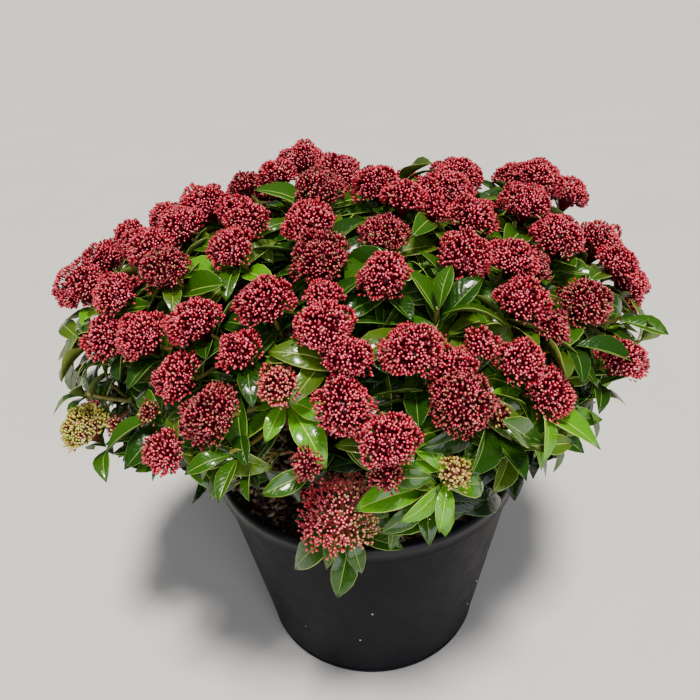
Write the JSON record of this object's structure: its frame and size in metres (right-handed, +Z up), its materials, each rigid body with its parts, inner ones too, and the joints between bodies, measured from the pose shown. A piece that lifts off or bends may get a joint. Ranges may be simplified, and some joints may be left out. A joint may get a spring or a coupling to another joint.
{
  "type": "potted japanese skimmia shrub",
  "caption": "Rounded evergreen shrub with domed heads of red flower buds over glossy leaves, on splayed boughs from a short stem in a round tapered pot of compost.",
  "frame": {"origin": "centre of the pot's flat underside, on the surface that the pot stands on", "axes": "+Z up, -Y towards the side that is looked at, +X to the right from there"},
  "size_m": [0.5441, 0.4888, 0.4905],
  "materials": {
    "pot": "moulded, satin",
    "compost": "loose, matt",
    "bark": "fissured, matt",
    "foliage": "glossy leaves"
  },
  "bodies": {
    "root": {"pot": "pot", "compost": "compost", "stem": "bark", "bough_low_1": "bark", "bough_low_2": "bark", "bough_low_3": "bark", "bough_low_4": "bark", "bough_low_5": "bark", "bough_low_6": "bark", "bough_low_7": "bark", "bough_middle_1": "bark", "bough_middle_2": "bark", "bough_middle_3": "bark", "bough_middle_4": "bark", "bough_middle_5": "bark", "bough_middle_6": "bark", "bough_top_1": "bark", "bough_top_2": "bark", "bough_top_3": "bark", "foliage_low_1": "foliage", "foliage_low_2": "foliage", "foliage_low_3": "foliage", "foliage_low_4": "foliage", "foliage_low_5": "foliage", "foliage_low_6": "foliage", "foliage_low_7": "foliage", "foliage_middle_1": "foliage", "foliage_middle_2": "foliage", "foliage_middle_3": "foliage", "foliage_middle_4": "foliage", "foliage_middle_5": "foliage", "foliage_middle_6": "foliage", "foliage_top_1": "foliage", "foliage_top_2": "foliage", "foliage_top_3": "foliage"}
  },
  "joints": []
}
